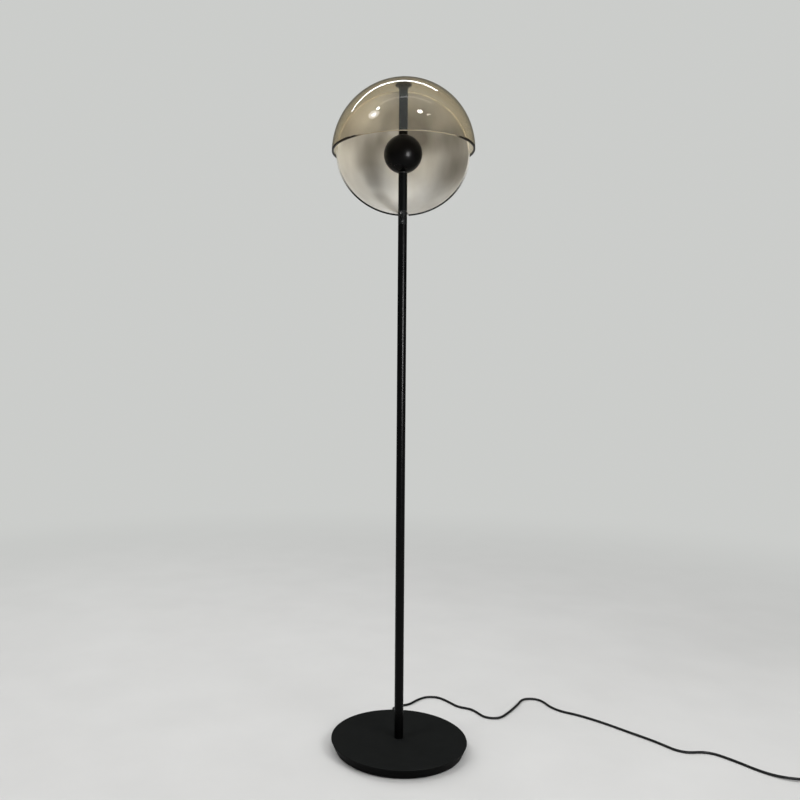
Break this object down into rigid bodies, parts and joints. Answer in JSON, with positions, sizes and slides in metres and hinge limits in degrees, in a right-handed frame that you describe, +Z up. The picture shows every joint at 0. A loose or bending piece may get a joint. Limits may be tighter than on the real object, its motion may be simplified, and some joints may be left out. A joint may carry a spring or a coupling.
{
  "type": "globe floor lamp",
  "caption": "Floor lamp on a weighted round base: a slim pole carries a ball under a clear amber glass dome, behind it a satin glass bowl that swivels round the pole.",
  "frame": {"origin": "on the floor at the centre of the base, under the pole's axis", "axes": "+Z up along the pole; +Y to the back, where the rear glass hangs at rest and the cord leaves the base; +X to the right seen from the front"},
  "size_m": [1.1792, 0.5212, 1.506],
  "materials": {
    "base_paint": "matte",
    "satin_paint": "satin",
    "cast_iron": "rough",
    "pad_rubber": "matte",
    "zinc_steel": "satin",
    "brass": "satin",
    "inner_plastic": "matte",
    "cord_pvc": "satin",
    "lead_pvc": "satin",
    "slip_plastic": "satin",
    "black_steel": "blackened, satin",
    "hub_aluminium": "machined",
    "board_aluminium": "white solder mask",
    "led_phosphor": "gloss",
    "diffuser_acrylic": "opal",
    "seal_rubber": "matte",
    "amber_glass": "clear amber",
    "satin_glass": "satin, acid etched",
    "switch_plastic": "satin",
    "plug_plastic": "satin",
    "plated_brass": "nickel plated"
  },
  "bodies": {
    "stand": {"amber_dome": "amber_glass", "base_cover": "base_paint", "base_nut": "zinc_steel", "base_rod": "zinc_steel", "base_washer": "zinc_steel", "base_weight": "cast_iron", "cord_clamp": "zinc_steel", "cord_clamp_screws": "zinc_steel", "cord_coil": "cord_pvc", "cord_gland": "cord_pvc", "dome_cap_nut": "satin_paint", "dome_flange": "satin_paint", "dome_seal": "seal_rubber", "dome_stud": "zinc_steel", "dome_washer": "seal_rubber", "floor_cord": "cord_pvc", "floor_pad": "pad_rubber", "joint_collar": "satin_paint", "lower_coupler": "zinc_steel", "mains_lead": "cord_pvc", "plug_body": "plug_plastic", "plug_pins": "plated_brass", "pole_lead": "lead_pvc", "pole_lower": "satin_paint", "pole_middle": "satin_paint", "pole_upper": "satin_paint", "slip_washers": "slip_plastic", "spindle": "zinc_steel", "spring_washer": "black_steel", "stem_top_bush": "brass", "stop_pin": "zinc_steel", "switch_contact": "inner_plastic", "switch_cover": "switch_plastic", "switch_screws": "zinc_steel", "switch_spring": "zinc_steel", "switch_tray": "switch_plastic", "terminal_block": "inner_plastic", "threaded_bushes": "brass", "upper_coupler": "zinc_steel", "upper_stem": "satin_paint"},
    "head": {"ball_shell": "satin_paint", "hub": "hub_aluminium", "stop_lug": "zinc_steel", "hub_screws": "zinc_steel", "driver": "inner_plastic", "thermal_pad": "seal_rubber", "led_board": "board_aluminium", "led_chips": "led_phosphor", "reflector_ring": "inner_plastic", "diffuser": "diffuser_acrylic", "lens_ring": "satin_paint", "swivel_bushes": "slip_plastic", "support_rod": "satin_paint", "rear_flange": "satin_paint", "rear_seal": "seal_rubber", "rear_glass": "satin_glass", "rear_washer": "seal_rubber", "rear_cap_nut": "satin_paint", "rear_stud": "zinc_steel"},
    "foot_button": {"switch_button": "switch_plastic"}
  },
  "joints": [
    {"name": "head_swivel", "type": "hinge", "parent": "stand", "child": "head", "pos_m": [0, 0, 1.3337], "axis": [0, 0, 1], "range_deg": [-160, 160]},
    {"name": "switch_press", "type": "slide", "parent": "stand", "child": "foot_button", "axis": [0, 0, -1], "range_m": [0, 0.003], "stiffness_N_per_m": 600, "springref_m": -0.002, "deforming": ["switch_spring"]}
  ]
}
